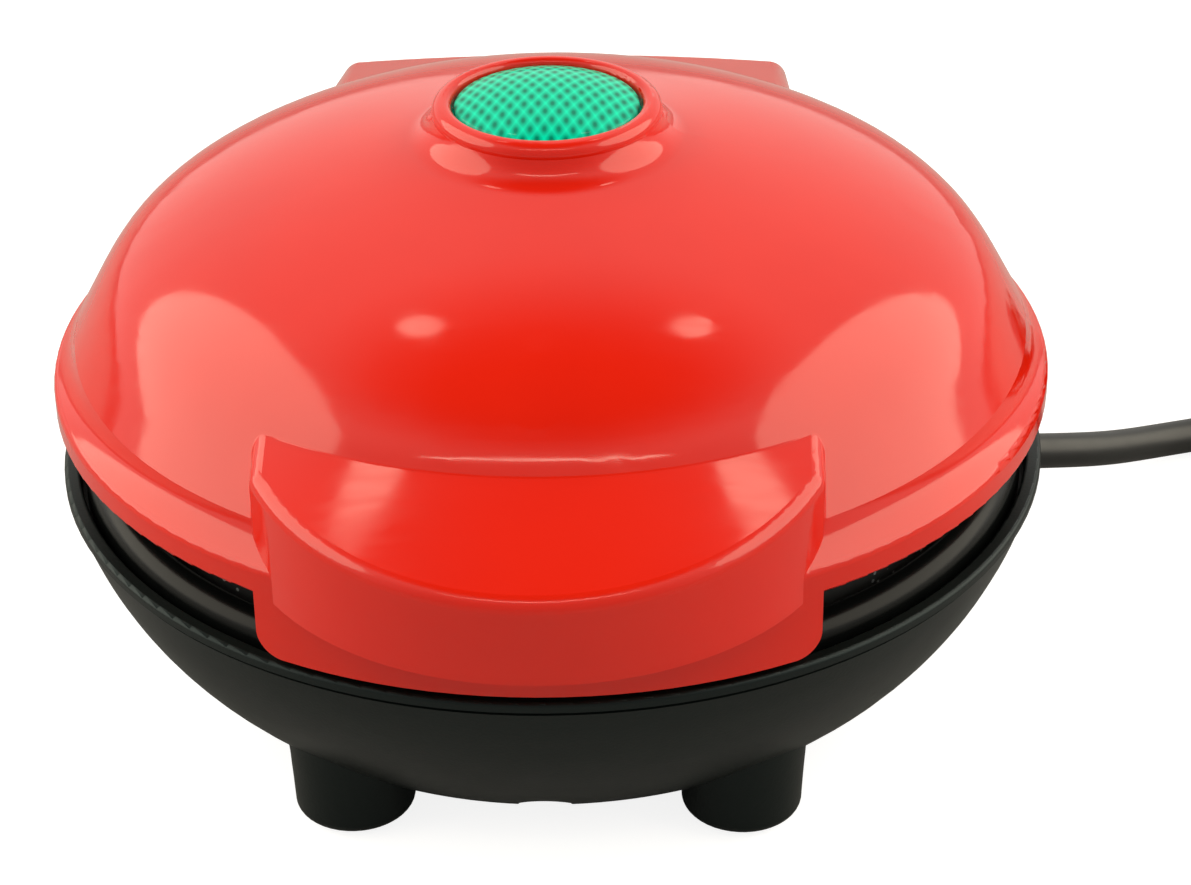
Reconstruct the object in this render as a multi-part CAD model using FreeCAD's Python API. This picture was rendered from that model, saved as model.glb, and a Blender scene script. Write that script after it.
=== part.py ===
# A table-top donut maker: a red lid with a front handle, hinged at the back of a black bowl
# on four feet.  Between them two non-stick plates bake four small ring doughnuts.
# Millimetres.  Z is up and the table is Z = 0.  The round body's axis is X = Y = 0, the
# handle points to -Y and the hinge runs along X at the back, on +Y.
import FreeCAD
import Part
import math
import os
from FreeCAD import Vector

os.makedirs("parts", exist_ok=True)

# ---- driving dimensions -----------------------------------------------------------------
WALL = 2.3                # moulded plastic wall
RIM_R = 72.4              # outer radius of the base rim
RIM_Z = 38.1              # top of the base rim
BOWL_Z = 6.8              # underside of the bowl
LID_R = 72.5              # outer radius of the lid rim
LID_Z = 48.6              # bottom edge of the lid rim
PARTING_Z = 47.0          # where the two plates meet
PLATE_GAP = 0.1           # half of the gap that stays between the closed plates

FOOT_X = 27.6             # feet, from the centre
FOOT_Y = 43.4
FOOT_R = 8.5              # foot radius at its end
FOOT_TOP_R = 9.5
PAD_R = 6.3               # rubber pad set into the foot
PAD_PROUD = 0.9           # how far the pad stands out

PLATE_R = 64.0            # five-inch cast plates
DECK = 2.6                # plate thickness between the moulds
PLATE_DEPTH = 11.9        # height of the plate's outer wall
MOULD_OUT = 35.5          # doughnut centres, from the axis
MOULD_MID_R = 15.5        # middle circle of a doughnut
MOULD_HALF_W = 8.5        # half its width, and its half height
MOULD_R = 26.0            # outside of the cast cup
MOULD_LIP = 0.8           # rounding where a mould meets the plate's face
CUP_DEPTH = 10.9
BOSS_DEPTH = 17.8         # screw bosses reach from the plate's face to the heat shield
SHIELD_R = 59.5
SHIELD_T = 0.6
LOWER_SHIELD_Z = PARTING_Z - PLATE_GAP - BOSS_DEPTH - SHIELD_T
UPPER_SHIELD_Z = PARTING_Z + PLATE_GAP + BOSS_DEPTH
POST_OUT = 54.0           # the four plate screws, from the axis
POST_R = 5.0
SCREW_R = 1.7
SCREW_CLEAR_R = 2.1

HINGE_Y = 73.2
HINGE_Z = 44.0
EAR_R = 6.0
PIN_R = 2.0
PIN_CLEARANCE = 0.06
BASE_EAR_X = 18.0         # inner face of a base ear; a lid ear stands outside it
EAR_WIDTH = 6.0
LID_EAR_X = 25.0

HANDLE_HALF = 37.1        # half width of the handle
HANDLE_ARC_R = 41.2       # plan radius of the handle's front
HANDLE_FRONT = 82.3       # how far the handle and the hood reach from the axis
HANDLE_Z = 48.0           # underside of the handle
HANDLE_TOP_R = 63.5       # the handle's top meets the dome on this circle
HANDLE_TOP_Z = 66.8
HANDLE_SLOPE = 0.36
HANDLE_BLEND = 0.5        # rounding where the handle runs into the dome
SKIRT_Z = 39.3            # bottom of the apron below the handle

HOOD_HALF = 37.4          # half width of the hinge hood
HOOD_Z = 47.0             # its bottom edge
HOOD_BACK_Z = 62.6        # its top at the back
HOOD_SLOPE = 0.27
HOOD_CROWN = 1.5
HOOD_BLEND = 1.5          # rounding where the hood runs into the dome

LENS_R = 13.1             # green indicator lens
LENS_EDGE_Z = 90.2
LENS_TOP_Z = 93.0
OPENING_R = 13.6
COLLAR_R = 16.3
COLLAR_Z = 90.95

RING_IN_R = 65.6          # black rings that close the gap round each plate
RING_OUT_R = 69.4

CORD_R = 2.9              # flexible cord, 5.8 mm
CORD_HEADING = 25.5       # degrees from +X towards +Y where it leaves the bowl
CORD_DIP = 13.5           # degrees below level
CORD_OUT = 61.0           # where its axis crosses the bowl wall
CORD_Z = 17.2
RELIEF_LENGTH = 24.0      # tapered sleeve outside the wall
COIL_X = 163.0
COIL_Y = 80.0
COIL_R = 31.0             # mean radius of the wound cord
COIL_HALF_W = 6.0
COIL_LOW = 0.6            # the tie lies under the coil, which rests this high on it
COIL_H = 12.3
TIE_T = 0.55              # thickness of the band that holds the coil
TIE_WIDTH = 9.0
TIE_ANGLE = -62.0         # where the band sits on the coil, from +X

UP = Vector(0, 0, 1)
ORIGIN = Vector(0, 0, 0)


# ---- helpers ----------------------------------------------------------------------------
def cylinder(radius, x, y, z0, z1):
    return Part.makeCylinder(radius, z1 - z0, Vector(x, y, z0), UP)


def box(x0, x1, y0, y1, z0, z1):
    return Part.makeBox(x1 - x0, y1 - y0, z1 - z0, Vector(x0, y0, z0))


def joined(first, others):
    return first.fuse(others).removeSplitter()


def outline(start, steps, place):
    """A closed face from a start point and line, arc or curve steps, set in space by place."""
    edges = []
    here = place(start)
    for kind, *points in steps:
        spots = [place(p) for p in points]
        if kind == "line":
            edges.append(Part.makeLine(here, spots[0]))
        elif kind == "arc":
            edges.append(Part.Arc(here, spots[0], spots[1]).toShape())
        else:
            curve = Part.BSplineCurve()
            curve.interpolate([here] + spots)
            edges.append(curve.toShape())
        here = spots[-1]
    if here.distanceToPoint(place(start)) > 0.001:
        edges.append(Part.makeLine(here, place(start)))
    return Part.Face(Part.Wire(edges))


def spun(start, steps):
    """A solid of revolution about the Z axis, from an outline in (radius, height)."""
    face = outline(start, steps, lambda p: Vector(p[0], 0, p[1]))
    return face.revolve(ORIGIN, UP, 360)


def plate_from_side(start, steps, x0, x1):
    """A flat piece between x0 and x1, from its outline in (y, z)."""
    face = outline(start, steps, lambda p: Vector(x0, p[0], p[1]))
    return face.extrude(Vector(x1 - x0, 0, 0))


def quarter_spots(radius):
    """Four places round the axis: right, back, left and front."""
    angles = [math.radians(90 * i) for i in range(4)]
    return [(radius * math.cos(a), radius * math.sin(a)) for a in angles]


def mould_spots():
    side = MOULD_OUT / math.sqrt(2)
    return [(side, side), (-side, side), (-side, -side), (side, -side)]


def smallest_radius(points):
    radii = []
    for before, corner, after in zip(points, points[1:], points[2:]):
        first = corner - before
        second = after - corner
        reach = 0.45 * min(first.Length, second.Length)
        radii.append(reach / math.tan(first.getAngle(second) / 2))
    return min(radii)


def tube(points, radius):
    """A round tube: straight runs joined by the largest tangent arcs that they allow."""
    edges = []
    here = points[0]
    for before, corner, after in zip(points, points[1:], points[2:]):
        back = (before - corner).normalize()
        ahead = (after - corner).normalize()
        half_turn = (math.pi - back.getAngle(ahead)) / 2
        reach = 0.45 * min((before - corner).Length, (after - corner).Length)
        arc_radius = reach / math.tan(half_turn)
        inward = (back + ahead).normalize()
        start = corner + back * reach
        end = corner + ahead * reach
        middle = corner + inward * (arc_radius / math.cos(half_turn) - arc_radius)
        edges.append(Part.makeLine(here, start))
        edges.append(Part.Arc(start, middle, end).toShape())
        here = end
    edges.append(Part.makeLine(here, points[-1]))
    path = Part.Wire(edges)
    circle = Part.Wire(Part.makeCircle(radius, points[0], points[1] - points[0]))
    solid = path.makePipeShell([circle], True, False)
    expected = math.pi * radius ** 2 * path.Length
    print(f"tube {path.Length:.0f} mm long, volume {solid.Volume / expected:.4f} of expected")
    return solid


NODES = {}


def keep(name, shape):
    """Record a finished sub-part under the name that it is known by."""
    solids = shape.Solids
    NODES[name] = solids[0] if len(solids) == 1 else Part.makeCompound(solids)


# ---- base housing -----------------------------------------------------------------------
BOWL_FOOT = (55.4, 9.2)   # where the flat bottom's rounding ends
BOWL_MID = (65.3, 20.8)
BOWL_TOP = (71.8, 35.9)   # just below the lip of the rim
LEDGE_Z = 33.5            # the lower ring stands on this ledge


def bowl_outer():
    return spun((0, BOWL_Z), [
        ("line", (50.5, BOWL_Z)),
        ("arc", (53.2, 7.5), BOWL_FOOT),
        ("arc", BOWL_MID, BOWL_TOP),
        ("line", (71.4, 36.1)),
        ("line", (71.5, 36.5)),
        ("line", (RIM_R, 36.7)),
        ("line", (RIM_R, RIM_Z - 0.6)),
        ("arc", (RIM_R - 0.18, RIM_Z - 0.18), (RIM_R - 0.6, RIM_Z)),
        ("line", (0, RIM_Z)),
    ])


def bowl_inner():
    """The hollow of the bowl, up through the rim."""
    return spun((0, BOWL_Z + WALL), [
        ("line", (50.0, BOWL_Z + WALL)),
        ("arc", (51.9, 9.6), (53.7, 10.8)),
        ("arc", (63.2, 21.9), (68.0, LEDGE_Z - 2)),
        ("line", (64.6, LEDGE_Z - 2)),
        ("line", (64.6, LEDGE_Z)),
        ("line", (70.1, LEDGE_Z)),
        ("line", (70.1, RIM_Z - 0.5)),
        ("arc", (70.25, RIM_Z - 0.15), (70.6, RIM_Z)),
        ("line", (70.6, RIM_Z + 4)),
        ("line", (0, RIM_Z + 4)),
    ])


def foot(x, y):
    cone = Part.makeCone(FOOT_R, FOOT_TOP_R, 20, Vector(x, y, PAD_PROUD), UP)
    bottom = min(cone.Edges, key=lambda e: e.BoundBox.ZMax)
    return cone.makeFillet(1.4, [bottom])


def base_ear(side):
    """A hinge ear that leans out over the back of the rim."""
    x0 = side * BASE_EAR_X
    x1 = side * (BASE_EAR_X + EAR_WIDTH)
    web = plate_from_side((67.3, 37.0), [
        ("line", (67.3, 41.0)),
        ("arc", (67.5, 44.5), (68.2, 46.6)),
        ("line", (HINGE_Y, HINGE_Z)),
        ("line", (72.6, 38.6)),
        ("line", (70.2, 33.6)),
        ("line", (67.3, 33.6)),
    ], x0, x1)
    knuckle = Part.makeCylinder(EAR_R, EAR_WIDTH, Vector(min(x0, x1), HINGE_Y, HINGE_Z), Vector(1, 0, 0))
    return web.fuse(knuckle)


def cord_direction():
    heading = math.radians(CORD_HEADING)
    dip = math.radians(CORD_DIP)
    level = math.cos(dip)
    return Vector(level * math.cos(heading), level * math.sin(heading), -math.sin(dip))


def cord_start():
    """The point where the cord's axis crosses the bowl wall."""
    heading = math.radians(CORD_HEADING)
    return Vector(CORD_OUT * math.cos(heading), CORD_OUT * math.sin(heading), CORD_Z)


LEAD_X = 12.0             # leads cross the hinge line at this side
LEAD_R = 1.9


def lead_notch():
    """The gap in the rim and the ring through which the lid's leads come out."""
    return box(-LEAD_X - 3.2, -LEAD_X + 3.2, 58.0, 78.0, 31.0, 44.0)


def base_housing():
    outer = bowl_outer()
    inner = bowl_inner()
    feet = [foot(sx * FOOT_X, sy * FOOT_Y) for sx in (-1, 1) for sy in (-1, 1)]
    gland = Part.makeCylinder(7.0, 8.0, cord_start() - cord_direction() * 3.5, cord_direction())
    shell = outer.fuse(feet + [gland]).cut(inner)
    posts = [cylinder(POST_R, x, y, BOWL_Z, LOWER_SHIELD_Z).common(outer) for x, y in quarter_spots(POST_OUT)]
    shell = joined(shell, posts + [base_ear(-1), base_ear(1)])
    cuts = [lead_notch()]
    for x, y in quarter_spots(POST_OUT):
        cuts.append(cylinder(SCREW_CLEAR_R, x, y, 0, 30))
        cuts.append(cylinder(3.8, x, y, 0, 14))
    for sx in (-1, 1):
        for sy in (-1, 1):
            cuts.append(cylinder(PAD_R, sx * FOOT_X, sy * FOOT_Y, 0, 3))
    cuts.append(Part.makeCylinder(4.4, 30, cord_start() - cord_direction() * 10, cord_direction()))
    cuts.append(Part.makeCylinder(PIN_R, 80, Vector(-40, HINGE_Y, HINGE_Z), Vector(1, 0, 0)))
    return shell.cut(cuts)


def foot_pad(x, y):
    pad = cylinder(PAD_R, x, y, 0, 3)
    bottom = min(pad.Edges, key=lambda e: e.BoundBox.ZMax)
    return pad.makeFillet(0.6, [bottom])


def base_bezel_ring():
    ring = spun((RING_IN_R, LEDGE_Z), [
        ("line", (RING_IN_R, 40.3)),
        ("arc", (65.85, 41.0), (66.5, 41.3)),
        ("arc", (68.5, 40.4), (RING_OUT_R, 38.0)),
        ("line", (RING_OUT_R, LEDGE_Z)),
    ])
    return ring.cut(lead_notch())


# ---- cook plates ------------------------------------------------------------------------
def mould(x, y, face_z, down):
    """The hollow of one ring doughnut; its lips are rounded into the plate's face."""
    half_w = math.sqrt(MOULD_HALF_W ** 2 - MOULD_LIP ** 2)
    inner = MOULD_MID_R - half_w
    outer = MOULD_MID_R + half_w
    slant = MOULD_LIP * (1 - math.sqrt(0.5))
    face = outline((inner - MOULD_LIP, -1), [
        ("line", (inner - MOULD_LIP, 0)),
        ("arc", (inner - slant, slant), (inner, MOULD_LIP)),
        ("arc", (MOULD_MID_R, MOULD_HALF_W), (outer, MOULD_LIP)),
        ("arc", (outer + slant, slant), (outer + MOULD_LIP, 0)),
        ("line", (outer + MOULD_LIP, -1)),
    ], lambda p: Vector(p[0], 0, face_z + down * p[1]))
    hollow = face.revolve(ORIGIN, UP, 360)
    hollow.translate(Vector(x, y, 0))
    return hollow


def cook_plate(face_z, down):
    """A cast plate with four ring moulds; down is -1 for the lower plate, +1 for the upper."""
    def slab(radius, x, y, depth, start=0.0):
        ends = sorted((face_z + down * start, face_z + down * depth))
        return cylinder(radius, x, y, ends[0], ends[1])

    rim = slab(PLATE_R, 0, 0, PLATE_DEPTH).cut(slab(PLATE_R - 2.4, 0, 0, PLATE_DEPTH, DECK))
    cups = [slab(MOULD_R, x, y, CUP_DEPTH) for x, y in mould_spots()]
    bosses = [slab(4.5, x, y, BOSS_DEPTH) for x, y in quarter_spots(POST_OUT)]
    centre = slab(6.0, 0, 0, 15.5)
    plate = joined(rim, cups + bosses + [centre])
    plate = plate.cut([mould(x, y, face_z, down) for x, y in mould_spots()])
    edge = [e for e in plate.Edges
            if abs(e.BoundBox.XMax - PLATE_R) < 0.01 and abs(e.BoundBox.ZMax - face_z) < 0.01
            and abs(e.BoundBox.ZMin - face_z) < 0.01]
    return plate.makeFillet(MOULD_LIP, edge)


def lower_cook_plate():
    plate = cook_plate(PARTING_Z - PLATE_GAP, -1)
    return plate.cut([cylinder(SCREW_R, x, y, 20, 40) for x, y in quarter_spots(POST_OUT)])


def countersink(radius, x, y, z, depth):
    return Part.makeCone(radius, radius - depth, depth, Vector(x, y, z), UP)


def upper_cook_plate():
    face_z = PARTING_Z + PLATE_GAP
    plate = cook_plate(face_z, 1)
    holes = [cylinder(SCREW_CLEAR_R, x, y, 40, 70) for x, y in quarter_spots(POST_OUT)]
    holes += [countersink(3.5, x, y, face_z, 1.8) for x, y in quarter_spots(POST_OUT)]
    return plate.cut(holes)


def heating_element(z, toward):
    """A sheathed C-shaped heater with two cold pins; toward is the way that the pins point."""
    circle = Part.Face(Part.Wire(Part.makeCircle(3.2, Vector(36, 0, z), Vector(0, 1, 0))))
    circle.rotate(ORIGIN, UP, 110)
    pieces = [circle.revolve(ORIGIN, UP, 320)]
    for side in (-1, 1):
        angle = math.radians(90 + side * 20)
        x = 36 * math.cos(angle)
        y = 36 * math.sin(angle)
        low, high = sorted((z, z + toward * 9))
        pieces.append(cylinder(1.6, x, y, low, high))
        pieces.append(Part.makeSphere(3.2, Vector(x, y, z)))
    return joined(pieces[0], pieces[1:])


def heat_shield(z, rim_to):
    """A pressed tray with a turned edge, a slot for the heater pins and screw holes."""
    tray = cylinder(SHIELD_R, 0, 0, z, z + SHIELD_T)
    low, high = sorted((z, rim_to))
    rim = cylinder(SHIELD_R, 0, 0, low, high).cut(cylinder(SHIELD_R - SHIELD_T, 0, 0, low, high))
    tray = joined(tray, [rim])
    holes = [cylinder(2.4, x, y, z - 1, z + 2) for x, y in quarter_spots(POST_OUT)]
    holes.append(cylinder(10.5, 0, 0, z - 1, z + 2))
    holes.append(box(-17, 17, 28, 40, z - 1, z + 2))
    return tray.cut(holes)


def pan_screw(x, y, z, length):
    """A screw driven upwards, its head below z."""
    head = cylinder(3.4, x, y, z - 2.2, z)
    head = head.makeFillet(0.9, [min(head.Edges, key=lambda e: e.BoundBox.ZMax)])
    screw = head.fuse(cylinder(SCREW_R, x, y, z, z + length)).removeSplitter()
    slot_a = box(x - 0.35, x + 0.35, y - 1.9, y + 1.9, z - 3, z - 1.3)
    slot_b = box(x - 1.9, x + 1.9, y - 0.35, y + 0.35, z - 3, z - 1.3)
    return screw.cut([slot_a, slot_b])


def flush_screw(x, y, z, length):
    head = countersink(3.4, x, y, z + 0.1, 1.7)
    screw = head.fuse(cylinder(SCREW_R, x, y, z + 1.7, z + length)).removeSplitter()
    slot_a = box(x - 0.35, x + 0.35, y - 1.7, y + 1.7, z - 1, z + 1.1)
    slot_b = box(x - 1.7, x + 1.7, y - 0.35, y + 0.35, z - 1, z + 1.1)
    return screw.cut([slot_a, slot_b])


# ---- what the base holds ----------------------------------------------------------------
def thermostat():
    can = cylinder(8.2, 0, 0, 22.0, 28.0)
    cap = cylinder(6.4, 0, 0, 28.0, 31.4)
    tabs = [box(-1.6, 1.6, side * 5 - 0.4, side * 5 + 0.4, 17.0, 22.0) for side in (-1, 1)]
    return joined(can, [cap] + tabs)


def thermostat_bracket():
    strap = box(-9.6, 9.6, -3.0, 3.0, 21.2, 22.0)
    pieces = []
    for side in (-1, 1):
        x0, x1 = sorted((side * 8.8, side * 9.6))
        pieces.append(box(x0, x1, -3.0, 3.0, 21.2, 28.5))
        x0, x1 = sorted((side * 8.8, side * 17.0))
        pieces.append(box(x0, x1, -3.0, 3.0, 27.7, 28.5))
    return joined(strap, pieces).cut(box(-2.2, 2.2, -3.1, 3.1, 21.0, 21.6))


def thermal_fuse():
    along = Vector(1, 0, 0)
    body = Part.makeCylinder(2.0, 11, Vector(-34, -12, 25.0), along)
    wire = Part.makeCylinder(0.5, 23, Vector(-40, -12, 25.0), along)
    clip = box(-30.5, -26.5, -15.0, -9.0, 27.3, 28.5)
    return joined(body, [wire, clip, box(-29.5, -27.5, -12.5, -11.5, 26, 28)])


BLOCK_X = 33.0
BLOCK_Y = 12.0


def terminal_block():
    body = box(BLOCK_X - 6, BLOCK_X + 6, BLOCK_Y - 11, BLOCK_Y + 11, BOWL_Z + WALL, 19.0)
    body = body.makeFillet(1.0, [e for e in body.Edges if e.BoundBox.ZMin > 18])
    wells = []
    for i in range(3):
        wells.append(cylinder(1.9, BLOCK_X, BLOCK_Y + 7 * (i - 1), 14.5, 20))
    return body.cut(wells)


def terminal_screws():
    pieces = []
    for i in range(3):
        y = BLOCK_Y + 7 * (i - 1)
        screw = cylinder(1.8, BLOCK_X, y, 14.5, 16.6)
        pieces.append(screw.cut(box(BLOCK_X - 1.5, BLOCK_X + 1.5, y - 0.3, y + 0.3, 15.9, 17)))
    return Part.makeCompound(pieces)


def base_leads():
    """Insulated leads inside the bowl: cord to block, block to thermostat and heater pins."""
    inner_end = cord_start() - cord_direction() * 7.6
    face = BLOCK_X + 6.1
    back = BLOCK_X - 6.1
    leads = []
    for side in (-1, 1):
        y = BLOCK_Y + 3.5 * side
        start = inner_end + Vector(-0.7 * side, 1.6 * side, 0)
        leads.append([start, Vector(face + 6, y, 13.4), Vector(face, y, 13.4)])
    leads.append([Vector(back, 7, 13), Vector(16, 6, 13), Vector(2, -4, 12.6), Vector(0, -5, 16.4)])
    leads.append([Vector(back, 17, 13), Vector(19, 18, 13), Vector(12.31, 33.83, 16),
                  Vector(12.31, 33.83, 23.3)])
    return Part.makeCompound([tube(route, 1.1) for route in leads])


def strain_relief():
    """A tapered, ribbed sleeve round the cord, locked in the wall by a groove."""
    neck = 4.4
    profile = [("line", (6.4, -6.5)), ("line", (6.4, -4.6)), ("line", (neck, -4.6)),
               ("line", (neck, 4.6)), ("line", (6.2, 4.6)), ("line", (6.2, 6.6)),
               ("line", (5.4, 7.4))]
    ribs = 5
    pitch = (RELIEF_LENGTH - 9.0) / ribs
    for i in range(ribs):
        start = 7.4 + i * pitch
        radius = 5.4 - (i + 1) * 0.34
        profile.append(("line", (radius + 0.1, start + pitch * 0.6)))
        profile.append(("line", (radius - 0.55, start + pitch * 0.66)))
        profile.append(("line", (radius - 0.6, start + pitch * 0.9)))
        profile.append(("line", (radius, start + pitch)))
    profile.append(("line", (3.55, RELIEF_LENGTH)))
    profile.append(("line", (0, RELIEF_LENGTH)))
    sleeve = spun((0, -6.5), profile)
    turn = FreeCAD.Rotation(UP, cord_direction())
    sleeve.Placement = FreeCAD.Placement(cord_start(), turn)
    return sleeve


# ---- cord, coil and plug ----------------------------------------------------------------
CORD_ROUTE = [Vector(*p) for p in [
    (84.3, 40.3, 9.4),
    (92.3, 45.9, 6.6),
    (100.6, 52.4, 4.1),
    (110.6, 57.3, 3.0),
    (122.6, 59.6, 3.0),
    (134.8, 57.2, 3.6),
    (146.6, 51.6, 3.6),
]]
TAIL_ROUTE = [Vector(*p) for p in [
    (189.0, 58.1, 9.35),
    (195.8, 66.2, 9.35),
    (198.9, 76.3, 10.2),
    (197.8, 86.8, 12.6),
    (192.7, 96.1, 16.5),
    (184.3, 102.6, 19.5),
    (174.1, 105.3, 19.85),
]]
PLUG_TURN = 75.0          # degrees that the plug is turned from +Y towards -X
PLUG_LENGTH = 30.0


def cord_route():
    return [cord_start() + cord_direction() * RELIEF_LENGTH] + CORD_ROUTE


def cord_coil():
    """The outer shape of the wound cord: a flat ring with rounded edges."""
    ring = cylinder(COIL_R + COIL_HALF_W, COIL_X, COIL_Y, COIL_LOW, COIL_H)
    ring = ring.cut(cylinder(COIL_R - COIL_HALF_W, COIL_X, COIL_Y, 0, 20))
    edges = [e for e in ring.Edges if e.Closed and e.BoundBox.ZMax - e.BoundBox.ZMin < 0.01]
    return ring.makeFillet(2.6, edges)


def cord_tie():
    """A soft band closed round one place of the coil."""
    slack = 0.15
    inner = box(COIL_R - COIL_HALF_W - slack, COIL_R + COIL_HALF_W + slack, -TIE_WIDTH, TIE_WIDTH,
                COIL_LOW - slack / 3, COIL_H + slack)
    outer = box(COIL_R - COIL_HALF_W - TIE_T - slack, COIL_R + COIL_HALF_W + TIE_T + slack,
                -TIE_WIDTH / 2, TIE_WIDTH / 2, COIL_LOW - slack / 3 - 0.5, COIL_H + slack + TIE_T)
    along = [e for e in inner.Edges if e.BoundBox.YLength > TIE_WIDTH]
    inner = inner.makeFillet(2.4, along)
    along = [e for e in outer.Edges if e.BoundBox.YLength > TIE_WIDTH / 2]
    band = outer.makeFillet(2.8, along).cut(inner)
    band.rotate(ORIGIN, UP, TIE_ANGLE)
    band.translate(Vector(COIL_X, COIL_Y, 0))
    return band.cut(cord_coil())


def at_plug(shape):
    """Move a shape from the plug's own frame, cord end at its origin, to where it lies."""
    turned = shape.copy()
    turned.rotate(ORIGIN, UP, PLUG_TURN)
    turned.translate(TAIL_ROUTE[-1])
    return turned


def plug_body():
    start = (0, -3.6)
    half = outline(start, [
        ("line", (0, 3.6)),
        ("arc", (5.5, 4.4), (9.0, 8.6)),
        ("arc", (11.2, 11.4), (14.0, 12.6)),
        ("line", (PLUG_LENGTH, 12.6)),
        ("line", (PLUG_LENGTH, -12.6)),
        ("line", (14.0, -12.6)),
        ("arc", (11.2, -11.4), (9.0, -8.6)),
        ("arc", (5.5, -4.4), start),
    ], lambda p: Vector(p[1], p[0], -7.4))
    body = half.extrude(Vector(0, 0, 14.8))
    long_edges = [e for e in body.Edges if e.BoundBox.ZLength < 0.01 and e.Length > 6]
    return at_plug(body.makeFillet(1.6, long_edges))


def plug_blades():
    blades = []
    for side in (-1, 1):
        x = side * 6.35
        blade = box(x - 0.75, x + 0.75, PLUG_LENGTH, PLUG_LENGTH + 17.0, -3.17, 3.17)
        tip = [e for e in blade.Edges if e.BoundBox.YMin > PLUG_LENGTH + 16.9 and e.BoundBox.XLength > 1]
        blade = blade.makeFillet(0.9, tip)
        hole = Part.makeCylinder(1.6, 4, Vector(x - 2, PLUG_LENGTH + 12.0, 0), Vector(1, 0, 0))
        blades.append(at_plug(blade.cut(hole)))
    return Part.makeCompound(blades)


# ---- hinge ------------------------------------------------------------------------------
def hinge_pin(side):
    shank_from = BASE_EAR_X
    shank = Part.makeCylinder(PIN_R, 14.0, Vector(side * shank_from, HINGE_Y, HINGE_Z), Vector(side, 0, 0))
    tip = max(shank.Edges, key=lambda e: abs(e.BoundBox.Center.x))
    shank = shank.makeFillet(0.5, [tip])
    head = Part.makeCylinder(3.4, 1.6, Vector(side * (shank_from - 1.6), HINGE_Y, HINGE_Z), Vector(side, 0, 0))
    return joined(shank, [head])


def base_lead_sleeve():
    """The leads' sleeve: out through the notch in the rim, up to the hinge line."""
    route = [(-LEAD_X, 60.9, 24.5), (-LEAD_X, 62.0, 29.0), (-LEAD_X, 66.4, 35.0),
             (-LEAD_X, 71.2, 38.6), (-LEAD_X, HINGE_Y, HINGE_Z), (-LEAD_X + 6.0, HINGE_Y, HINGE_Z + 0.02),
             (0.0, HINGE_Y, HINGE_Z)]
    return tube([Vector(*p) for p in route], LEAD_R)


def lid_lead_sleeve():
    route = [(0.2, HINGE_Y, HINGE_Z), (6.4, HINGE_Y, HINGE_Z + 0.02), (LEAD_X, HINGE_Y, HINGE_Z + 3.5),
             (LEAD_X, HINGE_Y - 0.8, 53.0), (LEAD_X, 68.8, 58.4), (LEAD_X, 64.6, 61.2), (LEAD_X, 60.6, 62.0)]
    return tube([Vector(*p) for p in route], LEAD_R)


# ---- lid --------------------------------------------------------------------------------
DOME = [(69.0, 57.4), (67.4, 60.3), (62.4, 68.1), (51.5, 75.8), (31.9, 82.5), (20.4, 85.2)]


def inward(points, wall):
    """The same points, moved into the dome by the wall along their normals."""
    moved = []
    for i, (r, z) in enumerate(points):
        r0, z0 = points[max(i - 1, 0)]
        r1, z1 = points[min(i + 1, len(points) - 1)]
        length = math.hypot(r1 - r0, z1 - z0)
        moved.append((r - wall * (z1 - z0) / length, z + wall * (r1 - r0) / length))
    return moved


def dome_outer():
    return spun((0, LID_Z), [
        ("line", (LID_R - 0.5, LID_Z)),
        ("arc", (LID_R - 0.15, LID_Z + 0.15), (LID_R, LID_Z + 0.5)),
        ("line", (LID_R, 51.7)),
        ("arc", (72.3, 52.4), (71.8, 52.9)),
        ("arc", (70.1, 54.8), DOME[0]),
        ("curve", *DOME[1:]),
        ("arc", (17.7, 86.5), (COLLAR_R, 88.9)),
        ("arc", (15.7, 90.6), (14.8, COLLAR_Z)),
        ("arc", (13.9, 90.7), (OPENING_R, 90.1)),
        ("line", (OPENING_R, 88.2)),
        ("line", (0, 88.2)),
    ])


def dome_inner():
    inner = inward(DOME, WALL)
    return spun((0, LID_Z - 3), [
        ("line", (LID_R - WALL, LID_Z - 3)),
        ("line", (LID_R - WALL, 51.0)),
        ("arc", (68.2, 53.4), inner[0]),
        ("curve", *inner[1:]),
        ("line", (14.7, 84.6)),
        ("line", (14.7, 88.2)),
        ("line", (OPENING_R, 88.2)),
        ("line", (OPENING_R, 95)),
        ("line", (0, 95)),
    ])


def handle_block(inset, bottom):
    """The handle's outside, or with an inset its hollow."""
    block = box(-HANDLE_HALF + inset, HANDLE_HALF - inset, -95, -30, bottom, 80)
    front = cylinder(HANDLE_ARC_R - inset, 0, -(HANDLE_FRONT - HANDLE_ARC_R), bottom, 80)
    lean = HANDLE_SLOPE
    apex = HANDLE_TOP_Z + lean * HANDLE_TOP_R - inset
    top = spun((0, bottom - 1), [
        ("line", (100, bottom - 1)),
        ("line", (100, apex - lean * 100)),
        ("line", (0, apex)),
    ])
    return block.common(front).common(top)


def rounded_handle():
    block = handle_block(0, HANDLE_Z)
    lip = [e for e in block.Edges if e.BoundBox.ZMax > 55 and e.BoundBox.YMin < -55 and e.Length > 20]
    upright = [e for e in block.Edges if e.BoundBox.ZLength > 10 and e.BoundBox.XLength < 0.1
               and e.BoundBox.YLength < 0.1 and e.BoundBox.YMin < -55]
    return block.makeFillet(2.2, lip + upright)


def apron():
    """The lid wall goes on down below the handle, with rounded lower corners."""
    band = cylinder(LID_R, 0, 0, SKIRT_Z, LID_Z + 2).cut(cylinder(LID_R - WALL, 0, 0, SKIRT_Z, LID_Z + 2))
    panel = box(-HANDLE_HALF, HANDLE_HALF, -90, -30, SKIRT_Z, LID_Z + 12)
    corners = [e for e in panel.Edges if e.BoundBox.YLength > 50 and e.BoundBox.ZMax < SKIRT_Z + 1]
    return band.common(panel.makeFillet(3.5, corners))


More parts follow.
